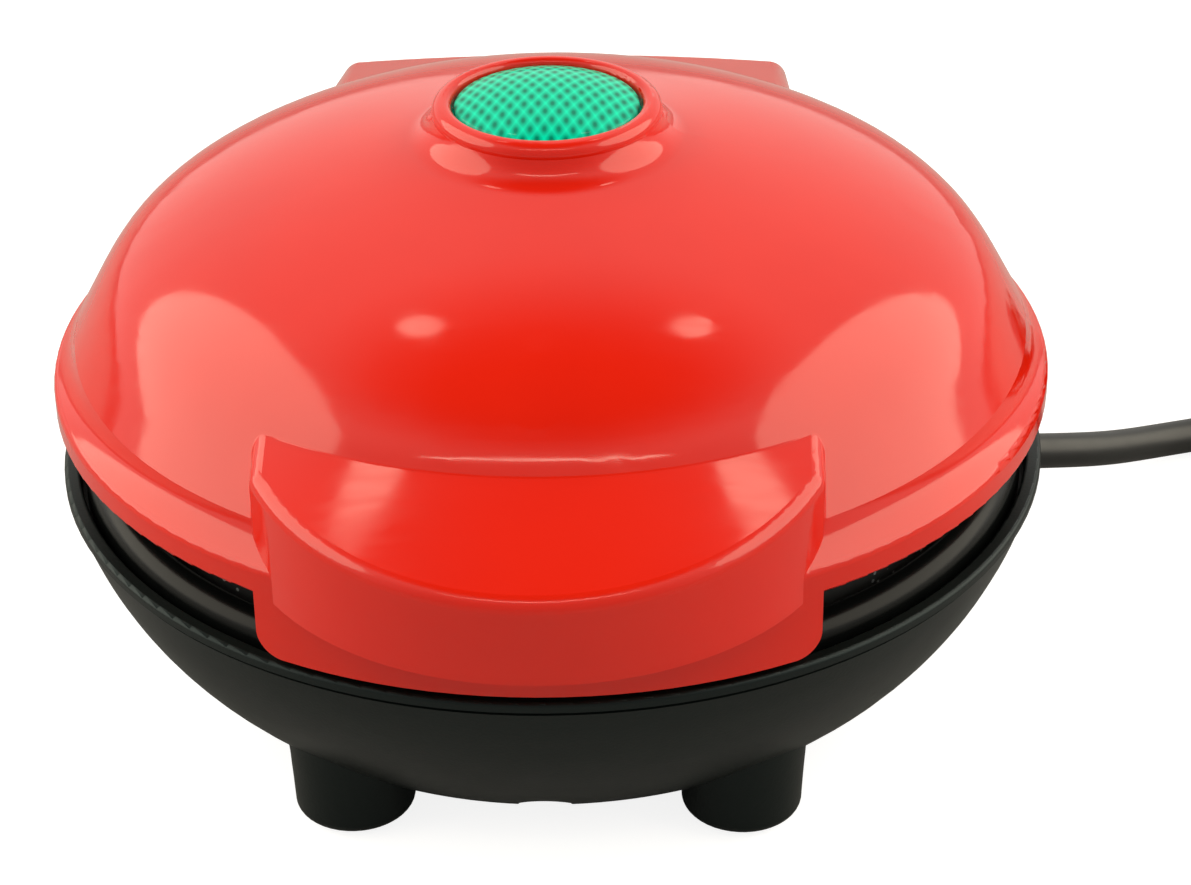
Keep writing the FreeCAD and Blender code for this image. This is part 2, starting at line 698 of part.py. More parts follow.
def hood_block(inset, bottom):
    """The hinge hood's outside, or with an inset its hollow; the top is crowned and slopes back."""
    half = HOOD_HALF - inset
    back = HANDLE_FRONT - inset
    top = HOOD_BACK_Z - inset
    start = (-half, top - 60)
    front_y = 30.0
    lift = HOOD_SLOPE * (back - front_y)
    face = outline(start, [
        ("line", (-half, top - HOOD_CROWN)),
        ("arc", (0, top), (half, top - HOOD_CROWN)),
        ("line", (half, top - 60)),
    ], lambda p: Vector(p[0], front_y, p[1] + lift))
    prism = face.extrude(Vector(0, back - front_y, -lift))
    return prism.cut(box(-60, 60, 0, 120, -40, bottom))


def rounded_hood():
    block = hood_block(0, HOOD_Z)
    back = [e for e in block.Edges if e.BoundBox.YMin > HANDLE_FRONT - 0.1 and e.BoundBox.ZMax > HOOD_Z + 1]
    sides = [e for e in block.Edges if e.BoundBox.YLength > 30 and e.BoundBox.ZMin > 55]
    return block.makeFillet(3.0, back + sides)


def lid_ear(side):
    x0, x1 = sorted((side * LID_EAR_X, side * (LID_EAR_X + EAR_WIDTH)))
    arm = box(x0, x1, HINGE_Y - EAR_R, HINGE_Y + EAR_R, HINGE_Z, 70)
    arm = arm.common(hood_block(1.0, HINGE_Z - 1))
    knuckle = Part.makeCylinder(EAR_R, EAR_WIDTH, Vector(x0, HINGE_Y, HINGE_Z), Vector(1, 0, 0))
    return arm.fuse(knuckle)


def lead_holes():
    """The way for the sleeve through the dome wall, under the roof of the hood."""
    return [box(LEAD_X - 3.2, LEAD_X + 3.2, 56.0, 67.0, 50.0, 64.2),
            box(LEAD_X - 3.2, LEAD_X + 3.2, 60.0, 72.0, 50.0, 61.0)]


def blended(shape, side, radius):
    """Round the edges where the handle (side -1) or the hood (side 1) leaves the dome."""
    edges = []
    for edge in shape.Edges:
        faces = shape.ancestorsOfType(edge, Part.Face)
        on_dome = [face for face in faces if isinstance(face.Surface, Part.SurfaceOfRevolution)]
        centre = edge.BoundBox.Center
        if len(faces) == 2 and len(on_dome) == 1 and side * centre.y > 45 and centre.z > 60:
            edges.append(edge)
    return shape.makeFillet(radius, edges)


def lid_shell():
    outer = dome_outer()
    hollow_handle = handle_block(2.4, 40).cut(outer)
    window = box(-33.5, 33.5, 64.0, 80.0, 40.0, 54.5)
    shell = outer.fuse([rounded_handle(), rounded_hood()])
    shell = blended(shell.removeSplitter(), 1, HOOD_BLEND)
    shell = blended(shell, -1, HANDLE_BLEND)
    shell = shell.cut([dome_inner(), hollow_handle])
    shell = shell.cut(hood_block(2.2, 40).cut(outer))
    shell = shell.cut([window] + lead_holes())
    posts = [cylinder(POST_R, x, y, UPPER_SHIELD_Z + SHIELD_T, 80).common(outer)
             for x, y in quarter_spots(POST_OUT)]
    shell = joined(shell, posts + [apron(), lid_ear(-1), lid_ear(1)] + cover_bosses())
    cuts = [cylinder(SCREW_R, x, y, 60, 71.5) for x, y in quarter_spots(POST_OUT)]
    cuts.append(Part.makeCylinder(PIN_R + PIN_CLEARANCE, 80, Vector(-40, HINGE_Y, HINGE_Z), Vector(1, 0, 0)))
    cuts += [cylinder(1.0, x, y, 40, 57) for x, y in cover_screw_spots()]
    return shell.cut(cuts)


def cover_screw_spots():
    return [(side * 12.0, -75.0) for side in (-1, 1)]


def cover_bosses():
    return [cylinder(2.4, x, y, 50.0, 60.6).cut(dome_outer()) for x, y in cover_screw_spots()]


def handle_cover():
    """A crescent that closes the handle from below."""
    plate = handle_block(2.6, 48.3).common(box(-40, 40, -90, -40, 48.3, 49.9))
    plate = plate.cut(cylinder(LID_R + 0.2, 0, 0, 40, 60))
    return plate.cut([cylinder(1.2, x, y, 40, 60) for x, y in cover_screw_spots()])


def cover_screws():
    pieces = []
    for x, y in cover_screw_spots():
        head = cylinder(2.1, x, y, 47.1, 48.3)
        shank = cylinder(1.0, x, y, 48.3, 56)
        slot = box(x - 1.6, x + 1.6, y - 0.3, y + 0.3, 46.9, 47.7)
        pieces.append(joined(head, [shank]).cut(slot))
    return Part.makeCompound(pieces)


def lid_bezel_ring():
    ring = spun((RING_IN_R, 47.6), [
        ("line", (69.8, 47.6)),
        ("line", (69.8, 50.8)),
        ("line", (67.4, 52.8)),
        ("line", (RING_IN_R, 52.8)),
    ])
    lower_edges = [e for e in ring.Edges if e.Closed and e.BoundBox.ZMax < 47.7]
    return ring.makeFillet(0.9, lower_edges)


# ---- indicator --------------------------------------------------------------------------
def ball_cap(radius, z, rise):
    """The part of a ball that stands above height z, where its radius is as given."""
    ball_r = (radius ** 2 + rise ** 2) / (2 * rise)
    ball = Part.makeSphere(ball_r, Vector(0, 0, z + rise - ball_r), UP, 0, 90, 360)
    return ball.common(cylinder(radius, 0, 0, z, z + rise + 1))


def indicator_lens():
    """A shallow green cap with a flange; its underside is hollow."""
    body = cylinder(14.4, 0, 0, 86.2, 87.9)
    rise = LENS_TOP_Z - LENS_EDGE_Z
    lens = joined(body, [cylinder(LENS_R, 0, 0, 86.2, LENS_EDGE_Z), ball_cap(LENS_R, LENS_EDGE_Z, rise)])
    hollow = joined(cylinder(11.2, 0, 0, 86.0, 88.9), [ball_cap(11.2, 88.9, 2.2)])
    return lens.cut(hollow)


def lens_retainer():
    """A clip ring that holds the lens flange up against the collar."""
    ring = spun((12.0, 84.2), [
        ("line", (12.0, 86.2)),
        ("line", (14.5, 86.2)),
        ("line", (14.5, 84.2)),
    ])
    return ring


def indicator_lamp():
    glass = cylinder(3.0, 0, 0, 77.0, 85.6)
    glass = glass.makeFillet(2.2, [max(glass.Edges, key=lambda e: e.BoundBox.ZMin)])
    pins = [cylinder(0.4, side * 1.3, 0, 70.0, 77.0) for side in (-1, 1)]
    return joined(glass, pins)


def lamp_holder():
    """A cup for the lamp on a bridge that rests on the upper heat shield."""
    cup = cylinder(4.6, 0, 0, 71.0, 80.0).cut(cylinder(3.05, 0, 0, 77.0, 81))
    bridge = box(-22, 22, -5, 5, 71.0, 72.4)
    legs = []
    for side in (-1, 1):
        x0, x1 = sorted((side * 20.6, side * 22.0))
        legs.append(box(x0, x1, -5, 5, 65.6, 72.4))
    holder = joined(cup, [bridge] + legs)
    return holder.cut([cylinder(0.5, side * 1.3, 0, 69.0, 78.0) for side in (-1, 1)])


def lid_leads():
    """Leads from the sleeve to the heater pins and to the lamp."""
    routes = [
        [(12.31, 33.83, 71.0), (12.31, 33.83, 75.0), (12.2, 44.0, 73.0), (12.0, 52.0, 67.4)],
        [(1.3, 0.6, 68.9), (3.0, 8.0, 67.8), (1.0, 20.0, 69.0), (-12.31, 30.0, 75.0), (-12.31, 33.83, 71.0)],
    ]
    return Part.makeCompound([tube([Vector(*p) for p in route], 1.0) for route in routes])


# ---- every sub-part by name -------------------------------------------------------------
def build_base():
    keep("base_housing", base_housing())
    for side_name, sx in (("left", -1), ("right", 1)):
        for end_name, sy in (("front", -1), ("rear", 1)):
            keep(f"foot_pad_{end_name}_{side_name}", foot_pad(sx * FOOT_X, sy * FOOT_Y))
        keep(f"hinge_pin_{side_name}", hinge_pin(sx))
    keep("base_bezel_ring", base_bezel_ring())
    keep("lower_cook_plate", lower_cook_plate())
    keep("lower_heating_element", heating_element(32.7, -1))
    keep("lower_heat_shield", heat_shield(LOWER_SHIELD_Z, 32.5))
    screws = [pan_screw(x, y, 14.0, 23.5) for x, y in quarter_spots(POST_OUT)]
    keep("lower_plate_screws", Part.makeCompound(screws))
    keep("thermostat", thermostat())
    keep("thermostat_bracket", thermostat_bracket())
    keep("thermal_fuse", thermal_fuse())
    keep("terminal_block", terminal_block())
    keep("terminal_screws", terminal_screws())
    keep("base_leads", base_leads())
    keep("base_lead_sleeve", base_lead_sleeve())


def build_cord():
    keep("strain_relief", strain_relief())
    keep("power_cord", tube(cord_route(), CORD_R).cut(cord_coil()))
    keep("cord_coil", cord_coil())
    keep("cord_tie", cord_tie())
    keep("cord_tail", tube(TAIL_ROUTE, CORD_R).cut(cord_coil()))
    keep("plug_body", plug_body())
    keep("plug_blades", plug_blades())
    for name, route in (("power cord", cord_route()), ("cord tail", TAIL_ROUTE)):
        print(f"{name}: smallest bend radius {smallest_radius(route):.1f} mm")


def build_lid():
    keep("lid_shell", lid_shell())
    keep("handle_cover", handle_cover())
    keep("handle_cover_screws", cover_screws())
    keep("lid_bezel_ring", lid_bezel_ring())
    keep("upper_cook_plate", upper_cook_plate())
    keep("upper_heating_element", heating_element(61.4, 1))
    keep("upper_heat_shield", heat_shield(UPPER_SHIELD_Z, 61.5))
    screws = [flush_screw(x, y, PARTING_Z + PLATE_GAP, 24.0) for x, y in quarter_spots(POST_OUT)]
    keep("upper_plate_screws", Part.makeCompound(screws))
    keep("indicator_lens", indicator_lens())
    keep("lens_retainer", lens_retainer())
    keep("indicator_lamp", indicator_lamp())
    keep("lamp_holder", lamp_holder())
    keep("lid_leads", lid_leads())
    keep("lid_lead_sleeve", lid_lead_sleeve())


build_base()
build_cord()
build_lid()
for name, shape in NODES.items():
    shape.exportStep(f"parts/{name}.step")
    size = shape.BoundBox
    print(f"{name}: {size.XLength:.1f} x {size.YLength:.1f} x {size.ZLength:.1f} mm, "
          f"{shape.Volume / 1000:.2f} cm3, {len(shape.Solids)} solid(s), valid {shape.isValid()}")
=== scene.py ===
# %% [markdown]
# # A donut maker, from finished CAD parts to a studio render
#
# The shapes of the moulded shells, the plates and the inner works come ready made from the
# CAD model.  In this lesson we set up the camera, lay the mains cord, model the soft and
# detailed pieces by hand with Blender's own tools, and give every piece the finish that the
# real one has.  We end with the light and the floor.
#
# The first cell loads the CAD pieces.  Each one is an object at the origin whose place is in
# its mesh, in metres, with Z up and the handle towards -Y.

# %% Load the CAD pieces
import math

import bpy
from mathutils import Matrix, Vector


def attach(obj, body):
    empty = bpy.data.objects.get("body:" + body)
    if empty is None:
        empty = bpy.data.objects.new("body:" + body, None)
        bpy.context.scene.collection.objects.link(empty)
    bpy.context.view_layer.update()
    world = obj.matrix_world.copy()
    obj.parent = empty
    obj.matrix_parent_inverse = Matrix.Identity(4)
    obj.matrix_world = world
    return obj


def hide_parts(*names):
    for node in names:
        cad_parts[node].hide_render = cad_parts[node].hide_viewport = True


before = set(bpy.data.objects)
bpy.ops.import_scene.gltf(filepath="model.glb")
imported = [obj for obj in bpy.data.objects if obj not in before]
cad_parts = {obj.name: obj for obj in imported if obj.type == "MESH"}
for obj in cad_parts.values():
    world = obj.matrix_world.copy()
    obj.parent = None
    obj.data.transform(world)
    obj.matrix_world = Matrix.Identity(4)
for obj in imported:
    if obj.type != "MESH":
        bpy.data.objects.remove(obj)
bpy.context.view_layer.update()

MM = 0.001                # one millimetre, in Blender's metres
print("CAD pieces:", len(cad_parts))

# %% [markdown]
# The camera is a long lens that looks down on the maker from the handle's side, a little
# from the right.  A long lens keeps the round lid from looking swollen.  Blender's camera
# looks along its own -Z with +Y up, so we work out where it looks from three angles (turn,
# tilt and roll), make three unit vectors from them, and put those into its matrix.

# %% Camera
LENS_MM = 90.7
TURN, TILT, ROLL = (math.radians(angle) for angle in (-1.28, -30.37, -0.64))
ahead = Vector((math.sin(TURN) * math.cos(TILT), math.cos(TURN) * math.cos(TILT), math.sin(TILT)))
level_right = Vector((math.cos(TURN), -math.sin(TURN), 0))
level_up = level_right.cross(ahead)
right = level_right * math.cos(ROLL) + level_up * math.sin(ROLL)
up = level_up * math.cos(ROLL) - level_right * math.sin(ROLL)

bpy.ops.object.camera_add()
camera = bpy.context.object
camera.name = "camera"
camera.data.lens = LENS_MM
camera.data.sensor_width = 36.0
camera.data.shift_y = -0.0067
facing = Matrix((right, up, -ahead)).transposed().to_4x4()
facing.translation = Vector((0.0150, -0.3881, 0.2635))
camera.matrix_world = facing
bpy.context.scene.camera = camera
print("camera at", [round(value, 4) for value in camera.location])

# %% [markdown]
# A mains cord is a fixed length of flexible vinyl, so it is one smooth curve with a round
# bevel.  It leaves the strain relief, droops to the table, and runs to the right.  The rest
# of it is put away in a coil, two turns beside each other and two more on top of them, with
# the plug lying on the coil.  A NURBS curve of order three never doubles back between its
# points, so a few listed points give the calm bends that a stiff cord takes.  The
# coil's points go round by a loop: the radius and the height are read from short tables of
# (angle, value).  Lengths are in millimetres and angles in degrees.
# A curve's points each have a radius that multiplies the bevel.  Blender also adds it to the
# curve's box, and its default of 1 would make the box a metre too large on every side.  So
# the points carry the cord's real radius here, and the bevel is 1.

# %% The cord's line
CORD_DIAMETER = 5.8
CORD_START = (76.12, 36.31, 11.60)
CORD_ROUTE = [
    (84.3, 40.3, 9.4), (92.3, 45.9, 6.6), (100.6, 52.4, 4.1), (110.6, 57.3, 3.0),
    (122.6, 59.6, 3.0), (134.8, 56.6, 3.4),
]
TAIL_ROUTE = [
    (195.6, 66.2, 9.35), (198.3, 76.3, 10.2), (197.4, 86.8, 12.6), (192.7, 96.1, 16.5),
    (184.3, 102.6, 19.5), (174.1, 105.3, 19.85),
]
COIL_CENTRE = Vector((163.0, 80.0, 0.0))
COIL_STEP = 24
COIL_ENDS = (-120, 1033)
RADIUS_AT = [(-120, 33.95), (180, 33.95), (240, 28.05), (760, 28.05), (825, 33.95), (1056, 33.95)]
HEIGHT_AT = [(-120, 3.52), (470, 3.52), (535, 9.34), (1056, 9.34)]


def read_table(table, at):
    """The value between the two rows that at lies between."""
    for (start, first), (end, second) in zip(table, table[1:]):
        if start <= at <= end:
            share = (at - start) / (end - start)
            return first + (second - first) * (3 * share ** 2 - 2 * share ** 3)


def coil_points():
    """Points round the coil, a little outside it, so that the curve itself lies on it."""
    outside = 1 / math.cos(math.radians(COIL_STEP / 2))
    points = []
    for angle in range(*COIL_ENDS, COIL_STEP):
        turn = math.radians(angle)
        reach = read_table(RADIUS_AT, angle) * outside
        height = read_table(HEIGHT_AT, angle)
        side = Vector((reach * math.cos(turn), reach * math.sin(turn), height))
        points.append(COIL_CENTRE + side)
    return points


cord_points = [CORD_START] + CORD_ROUTE + coil_points() + TAIL_ROUTE
print("cord points:", len(cord_points))

# %% The cord
cord_curve = bpy.data.curves.new("mains_cord", "CURVE")
cord_curve.dimensions = "3D"
cord_curve.resolution_u = 6
cord_curve.bevel_depth = 1.0
cord_curve.bevel_resolution = 6
cord_curve.use_fill_caps = True
line = cord_curve.splines.new("NURBS")
line.points.add(len(cord_points) - 1)
for spot, place in zip(line.points, cord_points):
    spot.co = (*(Vector(place) * MM), 1)
    spot.radius = CORD_DIAMETER / 2 * MM
line.order_u = 3
line.use_endpoint_u = True
cord = bpy.data.objects.new("mains_cord", cord_curve)
bpy.context.collection.objects.link(cord)
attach(cord, "base")
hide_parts("power_cord", "cord_coil", "cord_tail")
print("cord length in mm:", round(line.calc_length() / MM))

# %% [markdown]
# Two small helpers serve every piece that we model.  The first clears the selection, because
# an operator acts on all that is selected and the CAD pieces arrive selected.  The second
# puts a finished piece's place into its mesh and leaves its object at the origin, as the
# CAD pieces are, so that a pattern laid on Object coordinates stays where it is.

# %% Helpers for modelling
def start_clean():
    """Leave edit mode and deselect everything."""
    if bpy.context.object and bpy.context.object.mode != "OBJECT":
        bpy.ops.object.mode_set(mode="OBJECT")
    bpy.ops.object.select_all(action="DESELECT")


def select_faces(piece, wanted):
    """Select the faces whose centre and normal pass a test, and go to edit mode."""
    bpy.ops.object.mode_set(mode="OBJECT")
    for part in (*piece.data.vertices, *piece.data.edges, *piece.data.polygons):
        part.select = False
    chosen = [face for face in piece.data.polygons if wanted(face.center, face.normal)]
    for face in chosen:
        face.select = True
    bpy.ops.object.mode_set(mode="EDIT")
    bpy.ops.mesh.select_mode(type="FACE")
    return len(chosen)


def finish_piece(piece, name, body, smooth_under=40):
    """Name a piece, smooth its soft edges and put its place into its mesh."""
    bpy.ops.object.mode_set(mode="OBJECT")
    bpy.ops.object.select_all(action="DESELECT")
    piece.select_set(True)
    bpy.context.view_layer.objects.active = piece
    bpy.ops.object.transform_apply(location=True, rotation=True, scale=True)
    bpy.ops.object.shade_smooth_by_angle(angle=math.radians(smooth_under))
    piece.name = name
    piece.data.name = name
    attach(piece, body)
    print(f"{name}: {len(piece.data.polygons)} faces")


def apply_all(piece):
    """Apply a piece's modifiers, in order."""
    bpy.ops.object.mode_set(mode="OBJECT")
    bpy.context.view_layer.objects.active = piece
    for modifier in list(piece.modifiers):
        bpy.ops.object.modifier_apply(modifier=modifier.name)


# %% [markdown]
# The plug is one vinyl moulding: a flat body that narrows to the cord, with ribs on both
# broad sides for the fingers.  We start from a cube the size of its thick part, draw its
# back face out to the neck in four steps, each one smaller, and cut the broad faces into
# strips with bisect.  Every second strip is inset and pushed in, which leaves the ribs
# standing.  A bevel modifier then rounds all the corners as a mould does.

# %% The plug
PLUG_HALF = (12.6, 7.4)   # half its width and half its thickness
PLUG_SHOULDER = 14.0      # from the neck to the thick part
PLUG_FACE = 30.0          # from the neck to the flat end face
NECK = [(11.2, 11.4, 7.0), (9.0, 8.6, 6.2), (5.5, 4.6, 4.4), (0.0, 3.7, 3.7)]
PLUG_TURN = 75.0          # degrees to the right of +Y
RIB_START = 0.5           # from the shoulder to the first strip
RIB_STEP = 1.8            # width of one strip, rib or groove
GROOVE_DEPTH = 0.7

start_clean()
bpy.ops.mesh.primitive_cube_add(size=1, location=(0, (PLUG_SHOULDER + PLUG_FACE) / 2 * MM, 0))
plug = bpy.context.object
bpy.ops.object.mode_set(mode="EDIT")
bpy.ops.transform.resize(value=(2 * PLUG_HALF[0] * MM, (PLUG_FACE - PLUG_SHOULDER) * MM,
                                2 * PLUG_HALF[1] * MM))
select_faces(plug, lambda centre, normal: normal.y < -0.9)
half_w, half_h = PLUG_HALF
along = PLUG_SHOULDER
for next_along, next_w, next_h in NECK:
    step = (0, (next_along - along) * MM, 0)
    bpy.ops.mesh.extrude_region_move(TRANSFORM_OT_translate={"value": step})
    bpy.ops.transform.resize(value=(next_w / half_w, 1, next_h / half_h), center_override=(0, 0, 0))
    along, half_w, half_h = next_along, next_w, next_h

first_strip = PLUG_SHOULDER + RIB_START + RIB_STEP
for i in range(7):
    bpy.ops.mesh.select_all(action="SELECT")
    bpy.ops.mesh.bisect(plane_co=(0, (first_strip + i * RIB_STEP) * MM, 0), plane_no=(0, 1, 0))


def on_groove(centre, normal):
    """Every second strip of the two broad sides, counted from the shoulder."""
    world_y = centre.y + plug.location.y
    strip = (world_y / MM - first_strip) / RIB_STEP
    return abs(normal.z) > 0.9 and 0 < strip < 5.5 and int(strip) % 2 == 0


grooves = select_faces(plug, on_groove)
bpy.ops.mesh.inset(thickness=0.25 * MM, use_individual=True)
bpy.ops.transform.resize(value=(0.72, 1, 1), center_override=(0, 0, 0))
bpy.ops.mesh.extrude_faces_move(TRANSFORM_OT_shrink_fatten={"value": -GROOVE_DEPTH * MM})
bpy.ops.object.mode_set(mode="OBJECT")
edge_round = plug.modifiers.new("edge_round", "BEVEL")
edge_round.width = 0.9 * MM
edge_round.segments = 3
edge_round.angle_limit = math.radians(32)
apply_all(plug)
bpy.ops.object.mode_set(mode="EDIT")
bpy.ops.mesh.select_all(action="SELECT")
bpy.ops.transform.rotate(value=-math.radians(PLUG_TURN), orient_axis="Z",
                         center_override=(0, 0, 0))
bpy.ops.transform.translate(value=Vector(TAIL_ROUTE[-1]) * MM)
finish_piece(plug, "plug_moulding", "base")
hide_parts("plug_body")
print("grooves:", grooves, "plug box in mm:",
      [round(value / MM, 1) for value in (*plug.bound_box[0], *plug.bound_box[6])])

# %% [markdown]
# A short appliance cord of about 0.8 m is usual on such a maker.

# %% [markdown]
# A hook-and-loop strap holds the coil.  It is a band of woven tape that goes once round the
# bundle and overlaps itself on top.  A cube of the bundle's section gets its four long edges
# bevelled round, loses its two open ends, and becomes tape by a Solidify modifier that works
# outwards.  The overlap is a copy of the top faces, one thickness higher.

# %% The strap round the coil
BUNDLE = (24.75, 37.25, 0.62, 12.50)     # inner and outer radius, bottom and top
TAPE = 0.55                              # thickness
TAPE_WIDTH = 9.0
TAPE_BEND = 2.4                          # radius where the tape goes round a corner
OVERLAP_SHIFT = 0.8
STRAP_ANGLE = -62.0                      # where it sits on the coil, from +X

start_clean()
middle = ((BUNDLE[0] + BUNDLE[1]) / 2 * MM, 0, (BUNDLE[2] + BUNDLE[3]) / 2 * MM)
bpy.ops.mesh.primitive_cube_add(size=1, location=middle)
strap = bpy.context.object
bpy.ops.object.mode_set(mode="EDIT")
bpy.ops.transform.resize(value=((BUNDLE[1] - BUNDLE[0]) * MM, TAPE_WIDTH * MM,
                                (BUNDLE[3] - BUNDLE[2]) * MM))
bpy.ops.object.mode_set(mode="OBJECT")
for edge in strap.data.edges:
    first, second = (strap.data.vertices[i].co for i in edge.vertices)
    edge.select = abs(first.y - second.y) > TAPE_WIDTH / 2 * MM
for part in (*strap.data.vertices, *strap.data.polygons):
    part.select = False
bpy.ops.object.mode_set(mode="EDIT")
bpy.ops.mesh.select_mode(type="EDGE")
bpy.ops.mesh.bevel(offset=TAPE_BEND * MM, segments=6)
select_faces(strap, lambda centre, normal: abs(normal.y) > 0.9)
bpy.ops.mesh.delete(type="FACE")
select_faces(strap, lambda centre, normal: normal.z > 0.9)
overlap = (OVERLAP_SHIFT * MM, 0, TAPE * 1.05 * MM)
bpy.ops.mesh.duplicate_move(TRANSFORM_OT_translate={"value": overlap})
bpy.ops.object.mode_set(mode="OBJECT")
tape = strap.modifiers.new("tape", "SOLIDIFY")
tape.thickness = TAPE * MM
tape.offset = 1
fray = strap.modifiers.new("fray", "BEVEL")
fray.width = 0.14 * MM
fray.segments = 2
fray.angle_limit = math.radians(50)
apply_all(strap)
bpy.ops.object.mode_set(mode="EDIT")
bpy.ops.mesh.select_all(action="SELECT")
bpy.ops.transform.rotate(value=-math.radians(STRAP_ANGLE), orient_axis="Z",
                         center_override=(0, 0, 0))
bpy.ops.transform.translate(value=COIL_CENTRE * MM)
finish_piece(strap, "coil_strap", "base")
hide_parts("cord_tie")
print("strap box in mm:",
      [round(value / MM, 1) for value in (*strap.bound_box[0], *strap.bound_box[6])])

# %% [markdown]
# Round pieces are turned, as on a lathe.  One helper draws a small disc, and then extrudes and
# resizes it from one point of the outline to the next.  The first disc stays behind and the
# last one ends the piece, so the skin is closed at both poles.  The lens in the top of the
# lid is such a piece: a shallow cap, hollow below, with a flange that the collar holds down.
# Its outline starts in the hollow, goes out round the flange and ends on top of the crown.

# %% The indicator lens
def turned(outline, sides):
    """A turned, closed skin from an outline of (radius, height) in mm."""
    start_clean()
    radius, height = outline[0]
    bpy.ops.mesh.primitive_circle_add(vertices=sides, radius=radius * MM, fill_type="TRIFAN",
                                      location=(0, 0, height * MM))
    piece = bpy.context.object
    bpy.ops.object.mode_set(mode="EDIT")
    bpy.ops.mesh.select_mode(type="FACE")
    bpy.ops.mesh.select_all(action="SELECT")
    for next_radius, next_height in outline[1:]:
        rise = (next_height - height) * MM
        bpy.ops.mesh.extrude_region_move(TRANSFORM_OT_translate={"value": (0, 0, rise)})
        scale = next_radius / radius
        bpy.ops.transform.resize(value=(scale, scale, 1), center_override=(0, 0, 0))
        radius, height = next_radius, next_height
    bpy.ops.mesh.select_all(action="SELECT")
    bpy.ops.mesh.normals_make_consistent(inside=False)
    bpy.ops.object.mode_set(mode="OBJECT")
    return piece


LENS_EDGE = 13.1                          # radius of the cap
LENS_CROWN = (90.2, 93.0)                 # height of its edge and of its middle
LENS_HOLLOW = 11.2                        # radius of the hollow
HOLLOW_CROWN = (88.9, 91.1)
FLANGE = (14.35, 86.25, 87.85)            # its radius, its bottom and its top
CENTRE = 0.6                              # radius of the first and the last disc


def dome_height(radius, edge, low, high):
    """The height at a radius of a round dome from low at its edge to high in its middle."""
    rise = high - low
    ball = (edge ** 2 + rise ** 2) / (2 * rise)
    return high - ball + math.sqrt(ball ** 2 - radius ** 2)


flange_edge, flange_low, flange_high = FLANGE
lens_outline = [(radius, dome_height(radius, LENS_HOLLOW, *HOLLOW_CROWN))
                for radius in (CENTRE, 2.0, 4.0, 6.0, 8.0, 9.6, LENS_HOLLOW)]
lens_outline += [(LENS_HOLLOW, flange_low), (flange_edge, flange_low)]
lens_outline += [(flange_edge, flange_high), (13.15, flange_high)]
lens_outline += [(LENS_EDGE, 88.1), (LENS_EDGE, 89.95), (12.95, 90.16)]
lens_outline += [(radius, dome_height(radius, LENS_EDGE, *LENS_CROWN))
                 for radius in (12.7, 12.0, 11.0, 9.5, 8.0, 6.0, 4.0, 2.0, CENTRE)]
lens = turned(lens_outline, 96)
finish_piece(lens, "lens_cap", "lid", smooth_under=50)
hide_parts("indicator_lens")

# %% [markdown]
# Now the finishes.  Colours are written as hex values, the way a paint chip would be given,
# and one function turns them to Blender's linear light.  One more function adds a node: it
# takes the node's kind, its own options, and its inputs, and an input may be a number or
# the output of another node.  Patterns are laid on Object coordinates, in metres, so a
# pattern of N millimetres has a scale of 1000 / N.

# %% Helpers for finishes
def colour(hex_value):
    """A hex value such as a paint chip's, as Blender's linear colour."""
    channels = [int(hex_value[i:i + 2], 16) / 255 for i in (1, 3, 5)]
    linear = [c / 12.92 if c <= 0.04045 else ((c + 0.055) / 1.055) ** 2.4 for c in channels]
    return (*linear, 1.0)


def size_mm(millimetres):
    """The texture scale whose features are this large."""
    return 1000.0 / millimetres


def add_node(finish, kind, inputs=None, **options):
    """Add a node with its options, and fill or link its inputs."""
    made = finish.node_tree.nodes.new(kind)
    for key, value in options.items():
        setattr(made, key, value)
    for key, value in (inputs or {}).items():
        if isinstance(value, bpy.types.NodeSocket):
            finish.node_tree.links.new(value, made.inputs[key])
        else:
            made.inputs[key].default_value = value
    return made


def new_finish(name):
    """A material with a bare shader; returns it, its shader and Object coordinates."""
    finish = bpy.data.materials.new(name)
    finish.use_nodes = True
    finish.node_tree.nodes.clear()
    shader = add_node(finish, "ShaderNodeBsdfPrincipled")
    add_node(finish, "ShaderNodeOutputMaterial", {"Surface": shader.outputs["BSDF"]})
    place = add_node(finish, "ShaderNodeTexCoord").outputs["Object"]
    return finish, shader, place


def link(finish, source, shader, socket):
    """Join an output to one of the shader's sockets."""
    finish.node_tree.links.new(source, shader.inputs[socket])


# %% [markdown]
# The lid is high-gloss ABS, moulded in a polished tool and coloured right through.  That
# gives the eye a deep red with mirror-like soft reflections.  Close up, even polished
# plastic is not a perfect mirror: it has a very shallow waviness from shrinking in the
# mould, and fine wiping marks that show only in the gloss.  So the colour hardly changes,
# and the life is in the roughness and a faint bump.

# %% Gloss red ABS
red_abs, shader, place = new_finish("gloss_red_abs")
cloud = add_node(red_abs, "ShaderNodeTexNoise", {"Vector": place, "Scale": size_mm(38),
                                                 "Detail": 3.0})
tint = add_node(red_abs, "ShaderNodeValToRGB", {"Fac": cloud.outputs["Fac"]})
tint.color_ramp.elements[0].color = colour("#DC1800")
tint.color_ramp.elements[1].color = colour("#E31D02")
tint.color_ramp.elements[0].position = 0.35
tint.color_ramp.elements[1].position = 0.65
stretch = add_node(red_abs, "ShaderNodeMapping", {"Vector": place, "Scale": (1.0, 6.0, 6.0),
                                                  "Rotation": (0.0, 0.0, 0.5)})
wipes = add_node(red_abs, "ShaderNodeTexNoise", {"Vector": stretch.outputs["Vector"],
                                                 "Scale": size_mm(9), "Detail": 6.0})
gloss = add_node(red_abs, "ShaderNodeMapRange", {"Value": wipes.outputs["Fac"], "From Min": 0.3,
                                                 "From Max": 0.75, "To Min": 0.06, "To Max": 0.13})
